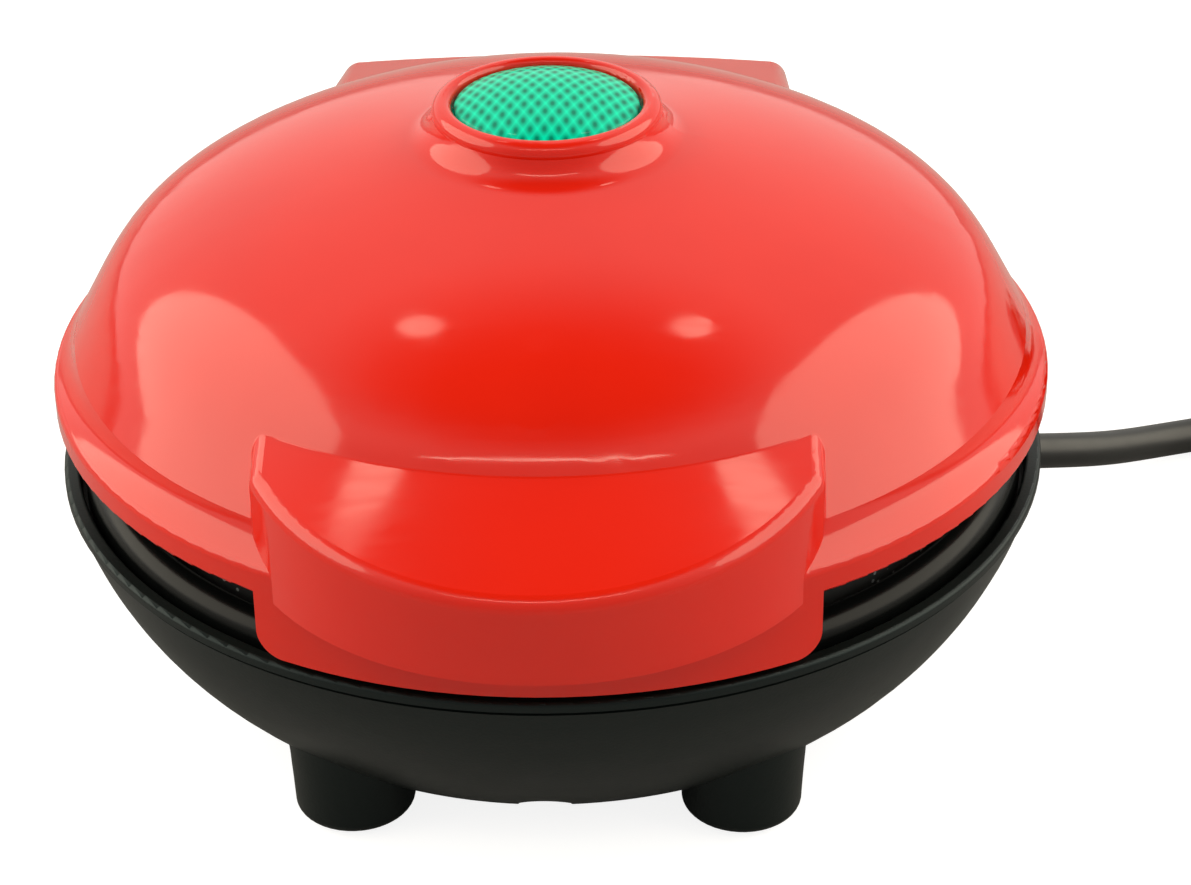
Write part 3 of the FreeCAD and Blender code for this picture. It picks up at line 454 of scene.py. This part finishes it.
wave = add_node(red_abs, "ShaderNodeTexNoise", {"Vector": place, "Scale": size_mm(14),
                                                "Detail": 1.0})
relief = add_node(red_abs, "ShaderNodeBump", {"Height": wave.outputs["Fac"], "Strength": 0.05,
                                              "Distance": 0.3 * MM})
link(red_abs, tint.outputs["Color"], shader, "Base Color")
link(red_abs, gloss.outputs["Result"], shader, "Roughness")
link(red_abs, relief.outputs["Normal"], shader, "Normal")
shader.inputs["IOR"].default_value = 1.54
print("finish:", red_abs.name)

# %% [markdown]
# The bowl, its feet and the two closing rings are black polypropylene.  The bowl's tool is
# spark-eroded to a fine grain, so highlights spread into a soft sheen, a little cool.  The
# grain of a real one is about 0.1 mm, too fine for the render, so it is drawn at 0.5 mm.
# The rings come from a smoother tool, with only small scuffs, so their highlights are thin.

# %% Black polypropylene, satin and polished
black_pp, shader, place = new_finish("satin_black_polypropylene")
grain = add_node(black_pp, "ShaderNodeTexNoise", {"Vector": place, "Scale": size_mm(0.5),
                                                  "Detail": 2.0})
handling = add_node(black_pp, "ShaderNodeTexNoise", {"Vector": place, "Scale": size_mm(30),
                                                     "Detail": 5.0})
shade = add_node(black_pp, "ShaderNodeValToRGB", {"Fac": handling.outputs["Fac"]})
shade.color_ramp.elements[0].color = colour("#070A09")
shade.color_ramp.elements[1].color = colour("#0D110F")
sheen = add_node(black_pp, "ShaderNodeMapRange", {"Value": handling.outputs["Fac"], "From Min": 0.3,
                                                  "From Max": 0.7, "To Min": 0.36, "To Max": 0.46})
relief = add_node(black_pp, "ShaderNodeBump", {"Height": grain.outputs["Fac"], "Strength": 0.18,
                                               "Distance": 0.1 * MM})
link(black_pp, shade.outputs["Color"], shader, "Base Color")
link(black_pp, sheen.outputs["Result"], shader, "Roughness")
link(black_pp, relief.outputs["Normal"], shader, "Normal")
shader.inputs["IOR"].default_value = 1.49
shader.inputs["Specular IOR Level"].default_value = 0.34
shader.inputs["Specular Tint"].default_value = colour("#D8F0F4")

ring_pp, shader, place = new_finish("polished_black_polypropylene")
scuff = add_node(ring_pp, "ShaderNodeTexNoise", {"Vector": place, "Scale": size_mm(6),
                                                 "Detail": 6.0})
shade = add_node(ring_pp, "ShaderNodeValToRGB", {"Fac": scuff.outputs["Fac"]})
shade.color_ramp.elements[0].color = colour("#060707")
shade.color_ramp.elements[1].color = colour("#0C0E0E")
sheen = add_node(ring_pp, "ShaderNodeMapRange", {"Value": scuff.outputs["Fac"],
                                                 "To Min": 0.18, "To Max": 0.30})
link(ring_pp, shade.outputs["Color"], shader, "Base Color")
link(ring_pp, sheen.outputs["Result"], shader, "Roughness")
shader.inputs["IOR"].default_value = 1.49
shader.inputs["Specular IOR Level"].default_value = 0.16
print("finishes:", black_pp.name, ring_pp.name)

# %% [markdown]
# The plates are cast aluminium under a sprayed non-stick coating.  The coating is matte and
# nearly black, with pale flecks about half a millimetre across and a slight pebble from the
# spraying.  A cell pattern gives each fleck its own random value: only the highest fifth
# turn pale, and only near their middle.

# %% Speckled non-stick coating
coating, shader, place = new_finish("speckled_nonstick_coating")
cells = add_node(coating, "ShaderNodeTexVoronoi", {"Vector": place, "Scale": size_mm(0.9)})
pick = add_node(coating, "ShaderNodeSeparateColor", {"Color": cells.outputs["Color"]})
chosen = add_node(coating, "ShaderNodeMath", {0: pick.outputs["Red"], 1: 0.82},
                  operation="GREATER_THAN")
near = add_node(coating, "ShaderNodeMath", {0: cells.outputs["Distance"], 1: 0.34},
                operation="LESS_THAN")
fleck = add_node(coating, "ShaderNodeMath", {0: chosen.outputs["Value"], 1: near.outputs["Value"]},
                 operation="MULTIPLY")
paint = add_node(coating, "ShaderNodeMix", {0: fleck.outputs["Value"], 6: colour("#222426"),
                                            7: colour("#8B8F92")}, data_type="RGBA")
pebble = add_node(coating, "ShaderNodeTexNoise", {"Vector": place, "Scale": size_mm(0.8),
                                                  "Detail": 2.0})
relief = add_node(coating, "ShaderNodeBump", {"Height": pebble.outputs["Fac"], "Strength": 0.25,
                                              "Distance": 0.1 * MM})
bake = add_node(coating, "ShaderNodeTexNoise", {"Vector": place, "Scale": size_mm(18),
                                                "Detail": 3.0})
matte = add_node(coating, "ShaderNodeMapRange", {"Value": bake.outputs["Fac"],
                                                 "To Min": 0.40, "To Max": 0.58})
link(coating, paint.outputs[2], shader, "Base Color")
link(coating, matte.outputs["Result"], shader, "Roughness")
link(coating, relief.outputs["Normal"], shader, "Normal")
print("finish:", coating.name)

# %% [markdown]
# The feet stand on natural rubber pads.  Rubber is matte and a little dusty, so its colour
# is lifted in soft patches and its roughness is high.  The cord, the plug and the strain
# relief are PVC, which is smoother than rubber and has a faint satin line of light along it.

# %% Rubber and vinyl
rubber, shader, place = new_finish("black_rubber")
dust = add_node(rubber, "ShaderNodeTexNoise", {"Vector": place, "Scale": size_mm(5),
                                               "Detail": 6.0})
shade = add_node(rubber, "ShaderNodeValToRGB", {"Fac": dust.outputs["Fac"]})
shade.color_ramp.elements[0].color = colour("#0D0D0D")
shade.color_ramp.elements[1].color = colour("#181818")
relief = add_node(rubber, "ShaderNodeBump", {"Height": dust.outputs["Fac"], "Strength": 0.3,
                                             "Distance": 0.15 * MM})
link(rubber, shade.outputs["Color"], shader, "Base Color")
link(rubber, relief.outputs["Normal"], shader, "Normal")
shader.inputs["Roughness"].default_value = 0.78
shader.inputs["IOR"].default_value = 1.52

vinyl, shader, place = new_finish("black_pvc_jacket")
drawn = add_node(vinyl, "ShaderNodeTexNoise", {"Vector": place, "Scale": size_mm(3),
                                               "Detail": 5.0})
shade = add_node(vinyl, "ShaderNodeValToRGB", {"Fac": drawn.outputs["Fac"]})
shade.color_ramp.elements[0].color = colour("#101111")
shade.color_ramp.elements[1].color = colour("#191A1A")
satin = add_node(vinyl, "ShaderNodeMapRange", {"Value": drawn.outputs["Fac"],
                                               "To Min": 0.33, "To Max": 0.50})
relief = add_node(vinyl, "ShaderNodeBump", {"Height": drawn.outputs["Fac"], "Strength": 0.12,
                                            "Distance": 0.15 * MM})
link(vinyl, shade.outputs["Color"], shader, "Base Color")
link(vinyl, satin.outputs["Result"], shader, "Roughness")
link(vinyl, relief.outputs["Normal"], shader, "Normal")
shader.inputs["IOR"].default_value = 1.53
print("finishes:", rubber.name, vinyl.name)

# %% [markdown]
# The strap is woven nylon tape with a hooked face.  Two wave patterns at right angles,
# multiplied together, give the over and under of a plain weave, one thread each 0.7 mm.  A
# wave texture draws one band per twentieth of its unit, so its scale is divided by 20.

# %% Woven tape
BANDS = 20                # bands that a wave texture draws in one unit of its scale
thread = size_mm(0.7) / BANDS
tape_cloth, shader, place = new_finish("woven_nylon_tape")
turned_place = add_node(tape_cloth, "ShaderNodeMapping", {
    "Vector": place, "Rotation": (0.0, 0.0, math.radians(-STRAP_ANGLE))}).outputs["Vector"]
weft = add_node(tape_cloth, "ShaderNodeTexWave", {"Vector": turned_place, "Scale": thread},
                bands_direction="X")
warp = add_node(tape_cloth, "ShaderNodeTexWave", {"Vector": turned_place, "Scale": thread},
                bands_direction="Y")
weave = add_node(tape_cloth, "ShaderNodeMath", {0: weft.outputs["Fac"], 1: warp.outputs["Fac"]},
                 operation="MULTIPLY")
shade = add_node(tape_cloth, "ShaderNodeValToRGB", {"Fac": weave.outputs["Value"]})
shade.color_ramp.elements[0].color = colour("#141416")
shade.color_ramp.elements[1].color = colour("#3A3A3D")
relief = add_node(tape_cloth, "ShaderNodeBump", {"Height": weave.outputs["Value"], "Strength": 0.6,
                                                 "Distance": 0.2 * MM})
link(tape_cloth, shade.outputs["Color"], shader, "Base Color")
link(tape_cloth, relief.outputs["Normal"], shader, "Normal")
shader.inputs["Roughness"].default_value = 0.85
print("finish:", tape_cloth.name)

# %% [markdown]
# The lens is clear green polycarbonate with a field of little prisms on its underside that
# spread the lamp's light.  Seen from above they read as a bright net round dark dots, each
# 2 mm from the next, in staggered rows.  A cell pattern without randomness gives a square
# grid, and turning it by 45 degrees staggers the rows; the rows are drawn out lengthwise.
# The polished top is a clear coat above it.  A little light of its own stands for the glow
# that the plastic gathers.

# %% Green lens
green_lens, shader, place = new_finish("green_polycarbonate_lens")
rows = add_node(green_lens, "ShaderNodeMapping", {"Vector": place, "Scale": (1.0, 0.55, 1.0),
                                                  "Rotation": (0.0, 0.0, math.radians(45))})
prisms = add_node(green_lens, "ShaderNodeTexVoronoi", {"Vector": rows.outputs["Vector"],
                                                       "Scale": size_mm(1.4), "Randomness": 0.0},
                  voronoi_dimensions="2D")
dot = add_node(green_lens, "ShaderNodeValToRGB", {"Fac": prisms.outputs["Distance"]})
dot.color_ramp.elements[0].color = colour("#007A60")
dot.color_ramp.elements[0].position = 0.12
dot.color_ramp.elements[1].color = colour("#00DCB0")
dot.color_ramp.elements[1].position = 0.66
middle_tone = dot.color_ramp.elements.new(0.30)
middle_tone.color = colour("#00A985")
relief = add_node(green_lens, "ShaderNodeBump", {"Height": prisms.outputs["Distance"],
                                                 "Strength": 0.25, "Distance": 0.3 * MM})
link(green_lens, dot.outputs["Color"], shader, "Base Color")
link(green_lens, dot.outputs["Color"], shader, "Emission Color")
link(green_lens, relief.outputs["Normal"], shader, "Normal")
shader.inputs["Emission Strength"].default_value = 0.16
shader.inputs["Roughness"].default_value = 0.3
shader.inputs["IOR"].default_value = 1.58
shader.inputs["Specular IOR Level"].default_value = 0.0
shader.inputs["Coat Weight"].default_value = 0.45
shader.inputs["Coat Roughness"].default_value = 0.05
print("finish:", green_lens.name)

# %% [markdown]
# The metals.  Zinc-plated screws and pins are bright with a faint cloud.  The heater's steel
# sheath is tinted straw and grey by heat, in patches.  The shields and the bracket are mill
# aluminium sheet, with the fine parallel lines that the rolls leave.  The fuse is dull brass,
# and the plug's blades are nickel-plated brass.  All keep the default IOR.

# %% Metals
def metal(name, low, high, roughness, grain, scale):
    """A metal whose colour and roughness vary with a stretched noise."""
    finish, shader, place = new_finish(name)
    stretched = add_node(finish, "ShaderNodeMapping", {"Vector": place, "Scale": grain})
    noise = add_node(finish, "ShaderNodeTexNoise", {"Vector": stretched.outputs["Vector"],
                                                    "Scale": size_mm(scale), "Detail": 5.0})
    shade = add_node(finish, "ShaderNodeValToRGB", {"Fac": noise.outputs["Fac"]})
    shade.color_ramp.elements[0].color = colour(low)
    shade.color_ramp.elements[0].position = 0.3
    shade.color_ramp.elements[1].color = colour(high)
    shade.color_ramp.elements[1].position = 0.7
    rough = add_node(finish, "ShaderNodeMapRange", {"Value": noise.outputs["Fac"],
                                                    "To Min": roughness[0], "To Max": roughness[1]})
    relief = add_node(finish, "ShaderNodeBump", {"Height": noise.outputs["Fac"], "Strength": 0.15,
                                                 "Distance": 0.05 * MM})
    link(finish, shade.outputs["Color"], shader, "Base Color")
    link(finish, rough.outputs["Result"], shader, "Roughness")
    link(finish, relief.outputs["Normal"], shader, "Normal")
    shader.inputs["Metallic"].default_value = 1.0
    return finish


zinc = metal("zinc_plated_steel", "#B5B7B4", "#CDCFCD", (0.22, 0.38), (1.0, 1.0, 1.0), 2.0)
sheath = metal("heat_tinted_steel_sheath", "#6B6257", "#8F867A", (0.35, 0.55), (1.0, 1.0, 1.0), 7.0)
sheet = metal("mill_aluminium_sheet", "#C9CBCC", "#DEE0E1", (0.25, 0.42), (1.0, 14.0, 1.0), 6.0)
brass = metal("dull_brass", "#A98A4F", "#C4A566", (0.35, 0.5), (1.0, 1.0, 1.0), 2.5)
nickel = metal("nickel_plated_brass", "#C3BEB2", "#D9D5C9", (0.16, 0.28), (1.0, 1.0, 1.0), 4.0)
print("metals:", [finish.name for finish in (zinc, sheath, sheet, brass, nickel)])

# %% [markdown]
# The small works inside: an unglazed ceramic thermostat, natural nylon for the terminal block
# and the lamp's holder, red silicone leads, a braided glass-fibre sleeve over the leads that
# cross the hinge, and the lamp's clear glass.

# %% Inner works
def plain_body(name, low, high, roughness, scale, bump):
    """A non-metal whose colour drifts between two close tones, with a fine relief."""
    finish, shader, place = new_finish(name)
    noise = add_node(finish, "ShaderNodeTexNoise", {"Vector": place, "Scale": size_mm(scale),
                                                    "Detail": 4.0})
    shade = add_node(finish, "ShaderNodeValToRGB", {"Fac": noise.outputs["Fac"]})
    shade.color_ramp.elements[0].color = colour(low)
    shade.color_ramp.elements[1].color = colour(high)
    rough = add_node(finish, "ShaderNodeMapRange", {"Value": noise.outputs["Fac"],
                                                    "To Min": roughness[0], "To Max": roughness[1]})
    relief = add_node(finish, "ShaderNodeBump", {"Height": noise.outputs["Fac"], "Strength": bump,
                                                 "Distance": 0.1 * MM})
    link(finish, shade.outputs["Color"], shader, "Base Color")
    link(finish, rough.outputs["Result"], shader, "Roughness")
    link(finish, relief.outputs["Normal"], shader, "Normal")
    return finish, shader


ceramic, shader = plain_body("unglazed_ceramic", "#D8D3C6", "#E6E2D8", (0.6, 0.75), 1.2, 0.3)
nylon, shader = plain_body("natural_nylon", "#DAD8CE", "#E8E6DE", (0.35, 0.5), 4.0, 0.1)
silicone, shader = plain_body("red_silicone_rubber", "#A8342A", "#BD3E32", (0.45, 0.6), 2.0, 0.15)
glass, shader = plain_body("clear_lamp_glass", "#F2E6D8", "#FFF6EC", (0.02, 0.06), 6.0, 0.02)
shader.inputs["Transmission Weight"].default_value = 1.0
shader.inputs["IOR"].default_value = 1.52

braid, shader, place = new_finish("braided_glass_fibre_sleeve")
strand = size_mm(0.9) / BANDS
one_way = add_node(braid, "ShaderNodeTexWave", {"Vector": place, "Scale": strand},
                   bands_direction="DIAGONAL")
mirrored = add_node(braid, "ShaderNodeMapping", {"Vector": place, "Scale": (-1.0, 1.0, 1.0)})
other_way = add_node(braid, "ShaderNodeTexWave", {"Vector": mirrored.outputs["Vector"],
                                                  "Scale": strand}, bands_direction="DIAGONAL")
plait = add_node(braid, "ShaderNodeMath", {0: one_way.outputs["Fac"], 1: other_way.outputs["Fac"]},
                 operation="MAXIMUM")
shade = add_node(braid, "ShaderNodeValToRGB", {"Fac": plait.outputs["Value"]})
shade.color_ramp.elements[0].color = colour("#8E8875")
shade.color_ramp.elements[1].color = colour("#DDD7C4")
relief = add_node(braid, "ShaderNodeBump", {"Height": plait.outputs["Value"], "Strength": 0.5,
                                            "Distance": 0.2 * MM})
link(braid, shade.outputs["Color"], shader, "Base Color")
link(braid, relief.outputs["Normal"], shader, "Normal")
shader.inputs["Roughness"].default_value = 0.7
print("finishes:", ceramic.name, nylon.name, silicone.name, glass.name, braid.name)

# %% [markdown]
# Each piece now takes its finish.  A CAD piece already has a material slot, so we put ours
# into it.  A new piece has no slot yet and gets one.

# %% Put the finishes on
FINISH_OF = {
    red_abs: ["lid_shell", "handle_cover"],
    black_pp: ["base_housing"],
    ring_pp: ["base_bezel_ring", "lid_bezel_ring", "lens_retainer"],
    coating: ["lower_cook_plate", "upper_cook_plate"],
    rubber: ["foot_pad_front_left", "foot_pad_front_right", "foot_pad_rear_left",
             "foot_pad_rear_right"],
    vinyl: ["strain_relief", "mains_cord", "plug_moulding"],
    tape_cloth: ["coil_strap"],
    green_lens: ["lens_cap"],
    zinc: ["hinge_pin_left", "hinge_pin_right", "lower_plate_screws", "upper_plate_screws",
           "terminal_screws", "handle_cover_screws"],
    sheath: ["lower_heating_element", "upper_heating_element"],
    sheet: ["lower_heat_shield", "upper_heat_shield", "thermostat_bracket"],
    brass: ["thermal_fuse"],
    nickel: ["plug_blades"],
    ceramic: ["thermostat"],
    nylon: ["terminal_block", "lamp_holder"],
    silicone: ["base_leads", "lid_leads"],
    glass: ["indicator_lamp"],
    braid: ["base_lead_sleeve", "lid_lead_sleeve"],
}
for finish, names in FINISH_OF.items():
    for name in names:
        piece = bpy.data.objects[name]
        if not piece.material_slots:
            piece.data.materials.append(finish)
        for slot in piece.material_slots:
            slot.material = finish
print("pieces with a finish:", sum(len(names) for names in FINISH_OF.values()))

# %% [markdown]
# The floor is a large sheet of paper.  It is mid grey as far as the object can tell, so that
# the bowl stays dark below, and the camera sees it lifted to white: a Light Path node tells
# the camera's rays from others.

# %% Floor
FLOOR_SIZE = 6.0          # metres
FLOOR_DROP = 0.2          # below the feet, so that the two faces do not flicker
PAPER_LIFT = 0.85

start_clean()
bpy.ops.mesh.primitive_plane_add(size=FLOOR_SIZE, location=(0, 0, -FLOOR_DROP * MM))
floor = bpy.context.object
floor.name = "studio_floor"
paper, shader, place = new_finish("white_paper")
fibre = add_node(paper, "ShaderNodeTexNoise", {"Vector": place, "Scale": size_mm(60),
                                               "Detail": 4.0})
shade = add_node(paper, "ShaderNodeValToRGB", {"Fac": fibre.outputs["Fac"]})
shade.color_ramp.elements[0].color = colour("#A4A4A4")
shade.color_ramp.elements[1].color = colour("#AAAAAA")
link(paper, shade.outputs["Color"], shader, "Base Color")
shader.inputs["Roughness"].default_value = 0.9
shader.inputs["Emission Color"].default_value = colour("#FFFFFF")
sight = add_node(paper, "ShaderNodeLightPath")
lift = add_node(paper, "ShaderNodeMath", {0: sight.outputs["Is Camera Ray"], 1: PAPER_LIFT},
                operation="MULTIPLY")
link(paper, lift.outputs["Value"], shader, "Emission Strength")
floor.data.materials.append(paper)
print("floor:", floor.name)

# %% [markdown]
# The lamps are area lights.  A large round soft box on each side lays its reflection on the
# lid's shoulders.  A narrow strip above the camera draws the thin bright line along the
# lid's front, just above the handle.  Two small lamps overhead make the bright points on the
# dome and the collar.  Their light is a warm white.

# %% Lamps
WARM_WHITE = "#FFF4DC"
BODY_MIDDLE = (0, 0, 0.06)     # what the large lamps point at, in metres
LID_TOP = (0, 0, 0.09)


def soft_box(name, place, size, power, aim):
    """An oval area light at a place, in metres and watts, turned to its aim."""
    bpy.ops.object.light_add(type="AREA", location=place)
    lamp = bpy.context.object
    lamp.name = name
    lamp.data.shape = "ELLIPSE"
    lamp.data.size, lamp.data.size_y = size
    lamp.data.energy = power
    lamp.data.color = colour(WARM_WHITE)[:3]
    lamp.rotation_euler = (Vector(aim) - Vector(place)).to_track_quat("-Z", "Y").to_euler()


soft_box("soft_box_left", (-0.80, 0.05, 0.50), (1.20, 0.90), 6.2, BODY_MIDDLE)
soft_box("soft_box_right", (0.80, 0.05, 0.50), (1.20, 0.90), 6.2, BODY_MIDDLE)
soft_box("strip_light", (0, -0.62, 0.85), (0.90, 0.025), 0.55, BODY_MIDDLE)
soft_box("glint_left", (-0.28, 0.34, 1.00), (0.09, 0.09), 0.08, LID_TOP)
soft_box("glint_right", (0.28, 0.34, 1.00), (0.09, 0.09), 0.08, LID_TOP)

# %% [markdown]
# The room around it is the world's background.  Its walls are bright, and its ceiling and
# its front are dim, so the gloss is pale where it mirrors a wall, while the lid's middle,
# which mirrors the ceiling, stays deep red.  The direction's Z says how far up a ray looks,
# and its Y how far to the back.

# %% Room
room = bpy.data.worlds.new("studio_room")
bpy.context.scene.world = room
room.use_nodes = True
backdrop = room.node_tree.nodes["Background"]
direction = add_node(room, "ShaderNodeTexCoord").outputs["Generated"]
split = add_node(room, "ShaderNodeSeparateXYZ", {"Vector": direction})
walls = add_node(room, "ShaderNodeMapRange", {"Value": split.outputs["Z"], "From Min": 0.78,
                                              "From Max": 0.985, "To Min": 1.0, "To Max": 0.10},
                 interpolation_type="SMOOTHSTEP")
front = add_node(room, "ShaderNodeMapRange", {"Value": split.outputs["Y"], "From Min": -0.9,
                                              "From Max": -0.2, "To Min": 0.38, "To Max": 1.0},
                 interpolation_type="SMOOTHSTEP")
bright = add_node(room, "ShaderNodeMath", {0: walls.outputs["Result"], 1: front.outputs["Result"]},
                  operation="MULTIPLY")
backdrop.inputs["Color"].default_value = colour("#FFFCF3")
link(room, bright.outputs["Value"], backdrop, "Strength")
bpy.context.scene.view_settings.view_transform = "Standard"
print("room:", room.name)
